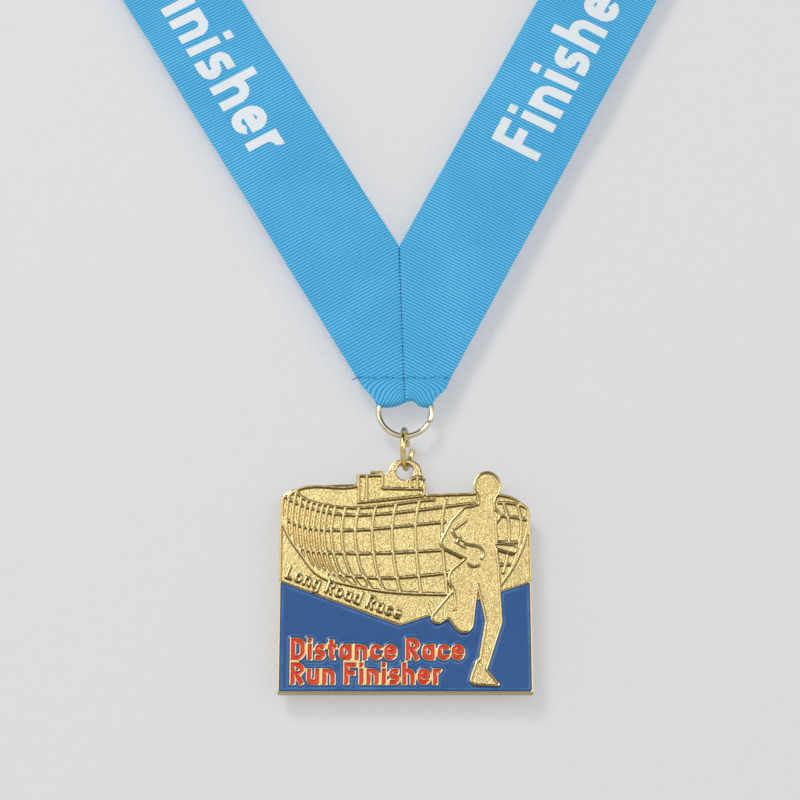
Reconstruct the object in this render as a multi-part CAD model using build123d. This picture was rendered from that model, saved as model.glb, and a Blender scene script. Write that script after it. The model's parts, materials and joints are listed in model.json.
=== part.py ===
from build123d import *
import math
import os

# Sports finisher medal on a 25 mm grosgrain neck ribbon, hanging upright.
# Frame: origin at the centre of the medal's flat back face, front of the medal towards -Y,
# +Z up along the ribbon, +X to the right of a person looking at the front. Millimetres.

# ---- driving dimensions -------------------------------------------------------------------
PLATE_HALF_WIDTH = 27.7
PLATE_BOTTOM = -23.6
PLATE_TOP = 23.6
# Heights of the casting's surfaces above the flat back face.
FLOOR = 2.2            # under the enamel
ENAMEL_TOP = 2.65
FIELD = 2.55           # sand-blasted field of the relief
WALL = 2.9             # frame, chevron and letter outlines
RIDGE = 3.0            # grid ridges of the hull
FIGURE = 2.9           # runner
FIGURE_LINE = 3.2      # raised rim and lines on the runner
LUG_BACK = 0.5
LUG_FRONT = 2.5
LINE_WIDTH = 0.5       # width of a polished ridge
FRAME_WIDTH = 0.4
BITE = 0.1             # how far raised work reaches into the metal under it
RIM_WIDTH = 0.45       # polished rim round the runner
FIGURE_LINE_WIDTH = 0.4

LUG_X, LUG_Z = 0.0, 26.6
LUG_HOLE_RADIUS = 2.0
LUG_HALF_WIDTH = 3.7
LUG_WALL = 0.9         # above the eye
CHAIN_Y = -1.5         # mid-plane of the lug, the rings and the ribbon's fold
RUNNING_CLEARANCE = 0.03

LINK_WIRE = 1.3        # wire diameters and centre-line radii of the two rings
LINK_RADIUS = 4.35
LINK_GAP_ANGLE = 200.0  # behind, a little above the link's middle
LINK_GAP = 0.7
LINK_SIDE_STEP = 1.35  # how far one end of the link stands beside the other
LINK_YAW = 7.0         # the link hangs slightly turned about the vertical
RING_WIRE = 1.25
RING_RADIUS = 5.97
RING_GAP_ANGLE = -24.0
RING_GAP = 0.2

RIBBON_WIDTH = 25.0
RIBBON_THICKNESS = 0.5
STRAP_ANGLE = 29.0     # each strap's lean from the vertical
APEX_Z = 81.4          # where the straps' inner edges meet
SEAM_Z = 48.5          # the row of stitching that closes the fold, and the fabric's flex line
FOLD_Z = 42.2          # lowest point of the fold
FOLD_HALF_WIDTH = 6.2
SEAM_HALF_WIDTH = 10.1
STRAP_LENGTH = 180.0   # flat length of a strap's centre line above the seam
NECK_RADIUS = 52.0     # the straps bend backwards round this radius
TAIL_HEIGHT = 5.5      # sewn-down end of the fold behind the straps

TEXT_CAP = 4.7         # enamel lettering
TEXT_WEIGHT = 0.84
TEXT_OUTLINE = 0.3
WORDS_X = -24.8        # where both enamel lines start
FIRST_LINE_Z = -16.3
SECOND_LINE_Z = -21.7
SMALL_CAP = 3.0        # small raised letters along the chevron
SMALL_WEIGHT = 0.5
PRINT_CAP = 12.0       # ribbon print
PRINT_WEIGHT = 2.35
PRINT_THICKNESS = 0.05
PRINT_START_Z = 112.0

THREAD = 0.3           # thickness of the sewing thread
STITCH_FILL = 0.75     # share of each stitch's step that the thread covers
CROSS_STITCHES = 13
MITRE_STITCHES = 12

# ---- places that follow from the dimensions -----------------------------------------------
LINK_INNER = LINK_RADIUS - LINK_WIRE / 2
LUG_SEAT = LINK_INNER - math.sqrt(LINK_INNER ** 2 - ((LUG_FRONT - LUG_BACK) / 2) ** 2)
LINK_BOTTOM_Z = LUG_Z + LUG_HOLE_RADIUS - LINK_WIRE / 2 - LUG_SEAT - RUNNING_CLEARANCE
LINK_Z = LINK_BOTTOM_Z + LINK_RADIUS
RING_BOTTOM_Z = LINK_Z + LINK_RADIUS - (LINK_WIRE + RING_WIRE) / 2 - RUNNING_CLEARANCE
RING_Z = RING_BOTTOM_Z + RING_RADIUS
RIBBON_EDGE_Z = SEAM_Z + RIBBON_THICKNESS + 0.05

# Sketches of the front face are drawn in (x, z); this plane stands them upright, facing -Y.
FRONT = Plane(origin=(0, 0, 0), x_dir=(1, 0, 0), z_dir=(0, -1, 0))


def slab(sketch, low, high):
    """A front-face sketch made solid between two heights above the back face."""
    return FRONT * Pos(0, 0, low) * extrude(sketch, high - low)


def strip(points, width=LINE_WIDTH, samples=13):
    """A ridge of even width along a smooth curve through the points."""
    path = Spline(*points) if len(points) > 2 else Line(*points)
    left, right = [], []
    for i in range(samples):
        at, along = path @ (i / (samples - 1)), path % (i / (samples - 1))
        side = Vector(-along.Y, along.X) * (width / 2)
        left.append(at + side)
        right.append(at - side)
    edges = [Spline(*left), Line(left[-1], right[-1]), Spline(*right), Line(right[0], left[0])]
    return make_face(edges)


def bar(x0, z0, x1, z1, width, grow=0.0):
    """A straight stroke with square ends."""
    length = math.hypot(x1 - x0, z1 - z0) + 2 * grow
    angle = math.degrees(math.atan2(z1 - z0, x1 - x0))
    return Pos((x0 + x1) / 2, (z0 + z1) / 2) * Rot(0, 0, angle) * Rectangle(length, width + 2 * grow)


def bend(x, z, radius, start, end, width, grow=0.0):
    """A round stroke from one angle to another, with square ends."""
    more = math.degrees(grow / radius)
    start, end = start - more, end + more
    outer, inner = radius + width / 2 + grow, max(radius - width / 2 - grow, 0.02)
    arc_out = CenterArc((x, z), outer, start, end - start)
    arc_in = CenterArc((x, z), inner, start, end - start)
    edges = [arc_out, Line(arc_out @ 1, arc_in @ 1), arc_in, Line(arc_in @ 0, arc_out @ 0)]
    return make_face(edges)


# ---- plain lettering ------------------------------------------------------------------------
# Strokes of each letter in units of the capital height: bars (x0, z0, x1, z1) and
# bends (x, z, radius, start angle, end angle). The last value is the letter's width.
HALF = 0.09            # half the stroke
BOWL = 0.19            # radius of the round letters
OVAL = [(HALF, 0.28, HALF, 0.42), (0.47, 0.28, 0.47, 0.42),
        (0.28, 0.42, BOWL, 0, 180), (0.28, 0.28, BOWL, 180, 360)]
ARCH = [(0.28, 0.42, BOWL, 0, 180), (0.47, 0, 0.47, 0.42)]
GLYPHS = {
    "L": ([(HALF, 0, HALF, 1), (HALF, HALF, 0.52, HALF)], 0.52),
    "F": ([(HALF, 0, HALF, 1), (HALF, 0.91, 0.54, 0.91), (HALF, 0.52, 0.48, 0.52)], 0.54),
    "D": ([(HALF, 0, HALF, 1), (HALF, 0.91, 0.28, 0.91), (HALF, HALF, 0.28, HALF),
           (0.28, 0.66, 0.25, 0, 90), (0.28, 0.34, 0.25, 270, 360), (0.53, 0.34, 0.53, 0.66)], 0.62),
    "R": ([(HALF, 0, HALF, 1), (HALF, 0.91, 0.3, 0.91), (HALF, 0.49, 0.3, 0.49),
           (0.3, 0.7, 0.21, -90, 90), (0.28, 0.49, 0.52, 0.0)], 0.6),
    "o": (OVAL, 0.56),
    "a": (OVAL + [(0.47, 0, 0.47, 0.7)], 0.56),
    "d": (OVAL + [(0.47, 0, 0.47, 1)], 0.56),
    "g": (OVAL + [(0.47, -0.05, 0.47, 0.7), (0.28, -0.05, BOWL, 215, 360)], 0.56),
    "c": ([(0.28, 0.42, BOWL, 20, 180), (HALF, 0.28, HALF, 0.42), (0.28, 0.28, BOWL, 180, 340)], 0.5),
    "e": ([(0.28, 0.42, BOWL, 0, 180), (HALF, 0.28, HALF, 0.42), (0.28, 0.28, BOWL, 180, 335),
           (HALF, 0.37, 0.56, 0.37)], 0.56),
    "n": ([(HALF, 0, HALF, 0.7)] + ARCH, 0.56),
    "h": ([(HALF, 0, HALF, 1)] + ARCH, 0.56),
    "r": ([(HALF, 0, HALF, 0.7), (0.28, 0.42, BOWL, 70, 180)], 0.4),
    "u": ([(HALF, 0.28, HALF, 0.7), (0.28, 0.28, BOWL, 180, 360), (0.47, 0, 0.47, 0.7)], 0.56),
    "i": ([(HALF, 0, HALF, 0.7), (HALF, 0.83, HALF, 1)], 0.18),
    "t": ([(0.15, 0.24, 0.15, 0.92), (0.3, 0.24, 0.15, 180, 270), (0, 0.61, 0.38, 0.61)], 0.38),
    "s": ([(0.23, 0.61, 0.43, 0.61), (0.23, 0.48, 0.13, 90, 270), (0.23, 0.35, 0.25, 0.35),
           (0.25, 0.22, 0.13, -90, 90), (0.03, 0.09, 0.25, 0.09)], 0.46),
}
LETTER_GAP = 0.15
WORD_GAP = 0.3


def word(text, cap, weight, grow=0.0):
    """Words from plain strokes, starting at the origin on their base line, as one sketch."""
    faces, x = [], 0.0
    for letter in text:
        if letter == " ":
            x += WORD_GAP * cap
            continue
        strokes, width = GLYPHS[letter]
        for stroke in strokes:
            placed = [value * cap for value in stroke[:3]]
            placed[0] += x
            if len(stroke) == 4:
                faces.append(bar(placed[0], placed[1], placed[2] + x, stroke[3] * cap, weight, grow))
            else:
                faces.append(bend(*placed, stroke[3], stroke[4], weight, grow))
        x += (width + LETTER_GAP) * cap
    return Sketch() + faces


# ---- the running figure ---------------------------------------------------------------------
def limb(p, radius_p, q, radius_q):
    """A tapered limb with round ends."""
    away = math.atan2(q[1] - p[1], q[0] - p[0])
    spread = math.acos((radius_p - radius_q) / math.dist(p, q))
    corners = [(x + radius * math.cos(away + side * spread), z + radius * math.sin(away + side * spread))
               for (x, z), radius, side in ((p, radius_p, 1), (q, radius_q, 1),
                                            (q, radius_q, -1), (p, radius_p, -1))]
    return [Pos(*p) * Circle(radius_p), Pos(*q) * Circle(radius_q), make_face(Polyline(*corners, close=True))]


HEAD = (18.25, 23.0)
HEAD_RADII = (3.1, 3.5)
# The runner's limbs: (centre, radius, centre, radius).
BODY = [
    ((18.2, 22.2), 2.6, (17.9, 18.6), 1.7),      # jaw
    ((18.2, 20.6), 1.5, (17.9, 17.5), 2.2),      # neck
    ((15.2, 16.0), 2.6, (19.3, 16.1), 1.8),      # shoulders
    ((16.6, 15.4), 3.6, (17.2, 9.0), 3.2),       # chest
    ((17.2, 9.0), 3.0, (16.8, 4.4), 3.9),        # waist
    ((14.4, 15.6), 2.9, (11.9, 13.6), 2.35),     # upper arm
    ((11.9, 13.6), 2.35, (9.1, 10.0), 1.5),
    ((13.2, 12.6), 2.0, (14.6, 9.4), 2.0),       # trunk behind the bent arm
    ((9.3, 9.8), 1.6, (14.0, 7.0), 1.3),         # forearm
    ((14.0, 7.0), 1.2, (15.9, 6.3), 1.4),        # hand
    ((16.2, 4.4), 3.6, (12.5, 1.8), 3.2),        # hips
    ((17.9, 3.4), 2.75, (19.3, -7.8), 1.9),      # standing thigh
    ((19.3, -7.8), 1.9, (16.9, -17.5), 1.2),     # standing shin
    ((16.5, -17.6), 1.5, (15.1, -20.8), 1.2),    # heel
    ((15.1, -20.9), 1.2, (19.9, -21.75), 0.6),   # sole
    ((16.7, -18.9), 1.2, (19.4, -21.5), 0.7),    # instep
    ((15.9, -20.1), 1.3, (18.3, -21.3), 0.9),    # arch
    ((13.1, 1.2), 3.0, (12.7, -8.4), 2.2),       # raised thigh
    ((10.4, -5.9), 1.8, (12.4, -8.2), 2.1),      # raised knee
    ((11.4, -3.2), 2.4, (7.0, -7.1), 1.5),       # raised foot
]


def runner(inset=0.0):
    """The running figure's silhouette, this far inside its outline."""
    faces = [Pos(*HEAD) * Ellipse(HEAD_RADII[0] - inset, HEAD_RADII[1] - inset)]
    for p, radius_p, q, radius_q in BODY:
        faces += limb(p, radius_p - inset, q, radius_q - inset)
    return Sketch() + faces


def far_hand(inset=0.0):
    """The hand that shows on the far side of the trunk."""
    return Sketch() + limb((20.4, 9.1), 0.9 - inset, (23.4, 8.5), 1.25 - inset)


def figure_lines():
    """Raised lines that draw the arm across the trunk and the raised shin."""
    upper_arm = strip([(13.6, 15.1), (10.2, 12.6)], FIGURE_LINE_WIDTH)
    forearm = strip([(10.2, 12.6), (11.9, 10.6), (13.9, 9.5), (16.2, 9.0), (17.2, 7.9), (16.6, 6.2)],
                    FIGURE_LINE_WIDTH, 25)
    wrist = strip([(13.6, 5.4), (14.6, 4.6), (16.4, 5.0)], FIGURE_LINE_WIDTH)
    shin = strip([(10.4, -0.4), (10.9, -3.0), (10.6, -5.4)], FIGURE_LINE_WIDTH)
    return upper_arm + forearm + wrist + shin


# ---- the medal's outline --------------------------------------------------------------------
def plate_outline():
    """The hall's roof line, the block beside the lug and the straight-sided plate below."""
    side, top = PLATE_HALF_WIDTH, PLATE_TOP
    edges = [
        Line((-side, PLATE_BOTTOM), (side, PLATE_BOTTOM)),
        Line((side, PLATE_BOTTOM), (side, 16.4)),
        Spline((side, 16.4), (26.2, 19.2), (21.0, 21.5), tangents=((0, 1), (-1, 0.2))),
        Line((21.0, 21.5), (4.7, 21.2)),
        Line((4.7, 21.2), (4.6, 24.0)),
        Line((4.6, 24.0), (-4.9, 24.0)),
        Line((-4.9, 24.0), (-4.9, 26.6)),
        Line((-4.9, 26.6), (-7.8, 26.6)),
        Line((-7.8, 26.6), (-7.8, 25.9)),
        Line((-7.8, 25.9), (-10.9, 25.7)),
        Line((-10.9, 25.7), (-11.0, top)),
        Spline((-11.0, top), (-20.0, 23.2), (-26.3, 21.7), (-side, 19.5), tangents=((-1, 0), (0, -1))),
        Line((-side, 19.5), (-side, PLATE_BOTTOM)),
    ]
    return make_face(edges)


def lug_outline():
    """The suspension lug: a round eye that flares into the plate."""
    eye = Pos(LUG_X, LUG_Z) * Ellipse(LUG_HALF_WIDTH, LUG_HOLE_RADIUS + LUG_WALL)
    skirt = make_face(Polyline((-LUG_HALF_WIDTH, LUG_Z), (LUG_HALF_WIDTH, LUG_Z), (4.6, 22.6), (-4.9, 22.6),
                               (-4.9, 25.6), close=True))
    return Sketch() + [eye, skirt]


# ---- relief of the hall ---------------------------------------------------------------------
CHEVRON = [(-PLATE_HALF_WIDTH, 1.45), (-1.3, -8.4), (PLATE_HALF_WIDTH, 1.3)]
REAR_RIM = [(-25.9, 20.7), (-24.0, 22.2), (-19.6, 23.0), (-10.6, 23.2)]
HULL_LINES = [
    [(-24.2, 21.9), (-22.3, 20.1), (-18.2, 18.8), (-11.9, 18.1), (-3.7, 18.7), (6.6, 20.0)],
    [(-27.0, 21.0), (-24.6, 19.4), (-20.0, 17.7), (-13.9, 16.5), (-5.7, 16.6), (2.9, 17.5), (15.6, 19.2)],
    [(-27.3, 16.2), (-24.1, 14.2), (-17.9, 13.0), (-9.8, 13.0), (-1.6, 13.7), (9.0, 14.8)],
    [(-25.2, 10.0), (-23.2, 8.8), (-18.7, 7.9), (-11.8, 7.6), (-1.6, 7.8), (9.0, 8.4)],
    [(-20.9, 4.6), (-18.6, 3.6), (-13.8, 2.7), (-5.7, 2.0), (2.4, 2.4), (10.5, 3.3)],
]
FAR_LINES = [[(20.5, 19.2), (23.5, 19.1), (27.0, 18.1)], [(20.5, 16.2), (24.0, 15.9), (27.2, 15.2)],
             [(20.0, 10.3), (23.0, 10.2), (26.2, 9.8)], [(20.0, 4.9), (22.0, 5.0), (24.2, 4.9)]]
KEEL = [(-27.1, 20.6), (-27.15, 15.6), (-26.1, 12.2), (-22.7, 7.1), (-19.0, 2.65), (-13.7, 0.8), (-7.7, -0.5),
        (0.4, -1.4), (12.0, -1.65)]
STERN = [(27.2, 17.6), (27.1, 13.8), (26.0, 9.6), (23.9, 5.0), (20.0, -0.6)]
FIRST_RIB, RIB_STEP, RIB_GROWTH, CROWDED_RIBS, RIB_COUNT = -26.3, 1.2, 0.36, 7, 15


def height_on(line, x):
    """The height of a hull line at x, between its points."""
    for (x0, z0), (x1, z1) in zip(line, line[1:]):
        if x <= x1:
            return z0 + (z1 - z0) * (x - x0) / (x1 - x0)
    return line[-1][1]


def rib(index):
    """One upright rib: crowded at the left, bulging outwards and sweeping in towards the keel."""
    x = FIRST_RIB + RIB_STEP * index + RIB_GROWTH * max(0, index - CROWDED_RIBS) ** 2
    sweep = min(1.0 + 0.008 * (7.5 - x) ** 2, 4.4)
    points = []
    for line, share in zip([HULL_LINES[0], HULL_LINES[2], HULL_LINES[3], HULL_LINES[4], KEEL[2:]],
                           [0.0, 0.0, 0.12, 0.55, 1.0]):
        at = x + share * sweep + (0.9 if line is HULL_LINES[0] else 0.0)
        points.append((at, height_on(line, at)))
    return strip(points)


def hull_face():
    """The area that the hull's grid fills, in front of the roof."""
    rim = [(27.3, 18.4), (15.6, 20.4), (6.6, 20.3), (-3.7, 18.9), (-11.9, 18.3), (-18.2, 19.0), (-24.2, 22.1)]
    edges = [Spline(*KEEL), Line(KEEL[-1], STERN[-1]), Spline(*STERN[::-1]), Line(STERN[0], rim[0]),
             Spline(*rim), Line(rim[-1], KEEL[0])]
    return make_face(edges)


def hall_ridges():
    """All polished ridges of the hall, the block beside the lug and its little roof."""
    hull = hull_face()
    faces = [strip(line) for line in HULL_LINES + FAR_LINES]
    for index in range(RIB_COUNT):
        faces.append(rib(index))
    faces += [strip([(21.6, 19.4), (22.8, 15.0), (22.8, 9.0), (21.4, 3.0)]),
              strip([(24.6, 19.4), (25.6, 15.0), (25.0, 9.0), (22.8, 3.0)])]
    grid = (Sketch() + faces) & hull
    edges = [strip(REAR_RIM), strip(KEEL, LINE_WIDTH * 1.2, 21), strip(STERN, LINE_WIDTH * 1.2)]
    block = [(-10.4, 19.2, -10.4, 25.4), (-8.6, 19.4, -8.6, 25.4), (-10.6, 25.5, -4.9, 25.6),
             (-7.8, 26.3, -4.9, 26.3), (-5.1, 22.6, -5.1, 26.4), (-5.1, 22.6, 4.4, 22.4),
             (-10.6, 19.3, 4.0, 20.8), (4.3, 20.9, 4.3, 23.8), (1.1, 22.4, 1.1, 24.6), (2.7, 22.4, 2.7, 24.9)]
    edges += [bar(*line, LINE_WIDTH) for line in block]
    edges += [bar(0.7, 24.4, 2.7, 25.3, LINE_WIDTH), bar(2.7, 25.3, 4.6, 24.5, LINE_WIDTH)]
    roof_edge = strip([(4.7, 20.9), (10.0, 21.1), (15.5, 21.3)])
    far_edge = strip([(20.5, 21.0), (24.6, 19.9), (27.2, 17.4)])
    sides = [bar(s * (PLATE_HALF_WIDTH - FRAME_WIDTH / 2), 1.2, s * (PLATE_HALF_WIDTH - FRAME_WIDTH / 2), top,
                 FRAME_WIDTH) for s, top in ((-1, 19.0), (1, 16.0))]
    return grid + edges + [roof_edge, far_edge] + sides


def small_words():
    """A line of small raised letters above the chevron's left side."""
    slope = math.degrees(math.atan2(CHEVRON[1][1] - CHEVRON[0][1], CHEVRON[1][0] - CHEVRON[0][0]))
    return Pos(-26.5, 2.0) * Rot(0, 0, slope) * word("Long Road Race", SMALL_CAP, SMALL_WEIGHT)


# ---- medal pieces ---------------------------------------------------------------------------
def lower_zone(drop):
    """The plate below the chevron, this far inside the chevron and the plate's edge."""
    side, bottom = PLATE_HALF_WIDTH - drop, PLATE_BOTTOM + drop
    tip = drop * 1.06
    corners = [(-side, bottom), (side, bottom), (side, CHEVRON[2][1] - tip),
               (CHEVRON[1][0], CHEVRON[1][1] - tip), (-side, CHEVRON[0][1] - tip)]
    return make_face(Polyline(*corners, close=True))


def enamel_words(grow=0.0):
    """Both lines of enamel letters, their strokes grown by this much all round."""
    first = Pos(WORDS_X, FIRST_LINE_Z) * word("Distance Race", TEXT_CAP, TEXT_WEIGHT, grow)
    second = Pos(WORDS_X, SECOND_LINE_Z) * word("Run Finisher", TEXT_CAP, TEXT_WEIGHT, grow)
    return first + second


def medal(figure, blue, red):
    """The casting: plate, lug, relief, frame, letter outlines and runner in one piece."""
    zone = lower_zone(0.0)
    body = plate_outline() + lug_outline() + Pos(*HEAD) * Ellipse(*HEAD_RADII)
    lug_area = Pos(LUG_X, LUG_Z + 4) * Rectangle(9.4, 8.0) & (lug_outline() - plate_outline())
    upper = body - zone - lug_area
    walls = zone - blue - red
    metal = slab(zone, 0, FLOOR) + slab(walls, 0, WALL) + slab(upper, 0, FIELD)
    metal += slab(lug_outline(), LUG_BACK, LUG_FRONT)
    metal += slab(hall_ridges() - figure - far_hand() - zone, FIELD - BITE, RIDGE)
    metal += slab(small_words() - zone, FIELD - BITE, FIGURE_LINE)
    metal += slab(figure + far_hand(), FLOOR, FIGURE)
    rim = figure + far_hand() - runner(RIM_WIDTH) - far_hand(RIM_WIDTH)
    metal += slab(rim, FIGURE - BITE, FIGURE_LINE)
    metal += slab(figure_lines(), FIGURE - BITE, FIGURE_LINE)
    hole = slab(Pos(LUG_X, LUG_Z) * Circle(LUG_HOLE_RADIUS), -1, RIDGE + 1)
    back_relief = slab(Pos(LUG_X, LUG_Z + 0.5) * Rectangle(9.2, 4.8), -1, LUG_BACK)
    return metal - hole - back_relief


# ---- rings ----------------------------------------------------------------------------------
def open_ring(plane, radius, wire, gap_angle, gap, side_step):
    """A ring bent from round wire, its ends apart by the gap and stepped sideways."""
    turn = 360.0 - math.degrees(gap / radius)
    start = gap_angle + math.degrees(gap / radius) / 2
    points = []
    for i in range(25):
        share = i / 24
        angle = math.radians(start + turn * share)
        step = side_step * max(0.0, (share - 0.75) / 0.25) ** 2
        points.append(plane.from_local_coords((radius * math.cos(angle), radius * math.sin(angle), step)))
    path = Spline(*points) if side_step else plane * CenterArc((0, 0), radius, start, turn)
    return sweep(Plane(origin=path @ 0, z_dir=path % 0) * Circle(wire / 2), path=path)


def ribbon_ring():
    plane = Plane(origin=(0, CHAIN_Y, RING_Z), x_dir=(1, 0, 0), z_dir=(0, -1, 0))
    return open_ring(plane, RING_RADIUS, RING_WIRE, RING_GAP_ANGLE, RING_GAP, 0.0)


def link_ring():
    yaw = math.radians(LINK_YAW)
    plane = Plane(origin=(0, CHAIN_Y, LINK_Z), x_dir=(-math.sin(yaw), -math.cos(yaw), 0),
                  z_dir=(math.cos(yaw), -math.sin(yaw), 0))
    return open_ring(plane, LINK_RADIUS, LINK_WIRE, LINK_GAP_ANGLE, LINK_GAP, LINK_SIDE_STEP)


# ---- ribbon ---------------------------------------------------------------------------------
def strap_frame():
    """The right strap's direction, and the axis round which it bends behind the neck."""
    lean = math.radians(STRAP_ANGLE)
    bisector = math.radians(90 - STRAP_ANGLE) / 2
    along = Vector(math.sin(lean), 0, math.cos(lean))
    axis = Vector(-math.sin(bisector), 0, math.cos(bisector))
    outward = Vector(math.cos(bisector), 0, math.sin(bisector))
    return along, axis, outward


def strap_sheet():
    """The right half of the neck loop as one solid: flat strap, bend round the neck, back band."""
    along, axis, outward = strap_frame()
    lean = math.radians(STRAP_ANGLE)
    across = Vector(math.cos(lean), 0, -math.sin(lean))
    inner = Vector(0, 0, APEX_Z)
    reach = STRAP_LENGTH - (APEX_Z - SEAM_Z)
    inner_end = inner + along * reach
    outer_end = inner_end + across * RIBBON_WIDTH
    seam_x = SEAM_HALF_WIDTH
    flat = [(0, RIBBON_EDGE_Z), (seam_x + 0.3, RIBBON_EDGE_Z), (outer_end.X, outer_end.Z),
            (inner_end.X, inner_end.Z), (0, APEX_Z)]
    front_low, front_high = -CHAIN_Y, -CHAIN_Y + RIBBON_THICKNESS
    strap = slab(make_face(Polyline(*flat, close=True)), front_low, front_high)
    centre = (inner_end + outer_end) / 2 + Vector(0, CHAIN_Y - RIBBON_THICKNESS / 2, 0)
    pitch_angle = math.radians((90 + STRAP_ANGLE) / 2)
    sections, steps = [], 12
    for i in range(steps + 1):
        turn = math.pi * i / steps
        rise = NECK_RADIUS * turn / math.tan(pitch_angle)
        at = (centre + outward * (NECK_RADIUS * math.sin(turn)) + axis * rise
              + Vector(0, NECK_RADIUS * (1 - math.cos(turn)), 0))
        normal = outward * math.sin(turn) + Vector(0, -math.cos(turn), 0)
        round_way = outward * math.cos(turn) + Vector(0, math.sin(turn), 0)
        tangent = round_way * math.sin(pitch_angle) + axis * math.cos(pitch_angle)
        plane = Plane(origin=at, x_dir=normal.cross(tangent), z_dir=tangent)
        sections.append(plane * Rectangle(RIBBON_WIDTH, RIBBON_THICKNESS))
    wrap = loft(sections)
    end = at
    band = Pos(end.X / 2, end.Y, end.Z) * Box(end.X, RIBBON_THICKNESS, RIBBON_WIDTH)
    return strap + wrap + band


def neck_ribbon():
    """The closed neck loop with the sewn-down tail of the fold behind the mitre."""
    half = strap_sheet()
    tail = slab(make_face(Polyline((-SEAM_HALF_WIDTH, RIBBON_EDGE_Z), (SEAM_HALF_WIDTH, RIBBON_EDGE_Z),
                                   (SEAM_HALF_WIDTH + 2.0, RIBBON_EDGE_Z + TAIL_HEIGHT),
                                   (-SEAM_HALF_WIDTH - 2.0, RIBBON_EDGE_Z + TAIL_HEIGHT), close=True)),
                -CHAIN_Y - RIBBON_THICKNESS, -CHAIN_Y)
    return half + mirror(half, about=Plane.YZ) + tail


def ribbon_tip():
    """The mitred end of the ribbon, folded round the large ring's wire into a flat sleeve."""
    inside = RING_WIRE / 2 + 0.025
    outside = inside + RIBBON_THICKNESS
    top_z = SEAM_Z - 0.9
    low_z = FOLD_Z + outside

    def sleeve(half, crown_half, crown_z):
        """The sleeve's profile seen from the side: round below, narrowing to its crown above."""
        lower = Pos(CHAIN_Y, low_z) * Circle(half)
        middle = Pos(CHAIN_Y, (low_z + top_z) / 2) * Rectangle(2 * half, top_z - low_z)
        peak = make_face(Polyline((CHAIN_Y - half, top_z), (CHAIN_Y + half, top_z),
                                  (CHAIN_Y + crown_half, crown_z), (CHAIN_Y - crown_half, crown_z), close=True))
        return Sketch() + [lower, middle, peak]

    outer = sleeve(outside, RIBBON_THICKNESS, SEAM_Z) + Pos(CHAIN_Y, SEAM_Z) * Circle(RIBBON_THICKNESS)
    inner = sleeve(inside, 0.01, SEAM_Z - 0.35)
    side_view = Plane(origin=(-20, 0, 0), x_dir=(0, 1, 0), z_dir=(1, 0, 0))
    tube = side_view * extrude(outer - inner, 40)
    shape = make_face(Polyline((-FOLD_HALF_WIDTH, FOLD_Z), (FOLD_HALF_WIDTH, FOLD_Z),
                               (SEAM_HALF_WIDTH, SEAM_Z), (SEAM_HALF_WIDTH, SEAM_Z + 1),
                               (-SEAM_HALF_WIDTH, SEAM_Z + 1), (-SEAM_HALF_WIDTH, SEAM_Z), close=True))
    cut = tube & slab(shape, -5, 10)
    plane = Plane(origin=(0, CHAIN_Y, RING_Z), x_dir=(1, 0, 0), z_dir=(0, -1, 0))
    return cut - plane * Torus(RING_RADIUS, RING_WIRE / 2 + 0.02)


# ---- print and thread -----------------------------------------------------------------------
def ribbon_print():
    """The white word on each strap, reading up the right strap and down the left one."""
    along, _, _ = strap_frame()
    lettering = word("Finisher", PRINT_CAP, PRINT_WEIGHT)
    length = lettering.bounding_box().size.X
    lean = math.radians(STRAP_ANGLE)
    middle = RIBBON_WIDTH / 2 + PRINT_CAP / 2
    start = (PRINT_START_Z - APEX_Z) / math.cos(lean)
    foot = Vector(0, APEX_Z) + Vector(math.sin(lean), math.cos(lean)) * start
    right_at = foot + Vector(math.cos(lean), -math.sin(lean)) * middle
    right = Pos(right_at.X, right_at.Y) * Rot(0, 0, 90 - STRAP_ANGLE) * lettering
    left_foot = foot + Vector(math.sin(lean), math.cos(lean)) * length
    left_at = left_foot + Vector(math.cos(lean), -math.sin(lean)) * middle
    left = Pos(-left_at.X, left_at.Y) * Rot(0, 0, STRAP_ANGLE - 90) * lettering
    low = -CHAIN_Y + RIBBON_THICKNESS + 0.01
    return slab(right + left, low, low + PRINT_THICKNESS)


def stitches(start, end, count, y):
    """A row of separate thread stitches lying on the fabric at this y."""
    step = (end - start) / count
    stitch = Solid.make_cylinder(THREAD / 2, step.length * STITCH_FILL, Plane(origin=(0, 0, 0), z_dir=step))
    row = []
    for i in range(count):
        at = start + step * (i + (1 - STITCH_FILL) / 2)
        row.append(Pos(at.X, y, at.Z) * stitch)
    return row


def cross_stitching():
    """The row across the straps, above the fold, in front and behind."""
    z = RIBBON_EDGE_Z + 0.7
    start, end = Vector(-SEAM_HALF_WIDTH, 0, z), Vector(SEAM_HALF_WIDTH, 0, z)
    gap = RIBBON_THICKNESS + THREAD / 2 + 0.01
    front = stitches(start, end, CROSS_STITCHES, CHAIN_Y - gap)
    return Compound(front + stitches(start, end, CROSS_STITCHES, CHAIN_Y + gap))


def mitre_stitching():
    """The seam behind the straps, along the mitre from the tail up to the apex."""
    start = Vector(0, 0, RIBBON_EDGE_Z + TAIL_HEIGHT + 0.4)
    end = Vector(0, 0, APEX_Z - 1.0)
    return Compound(stitches(start, end, MITRE_STITCHES, CHAIN_Y + THREAD / 2 + 0.01))


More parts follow.
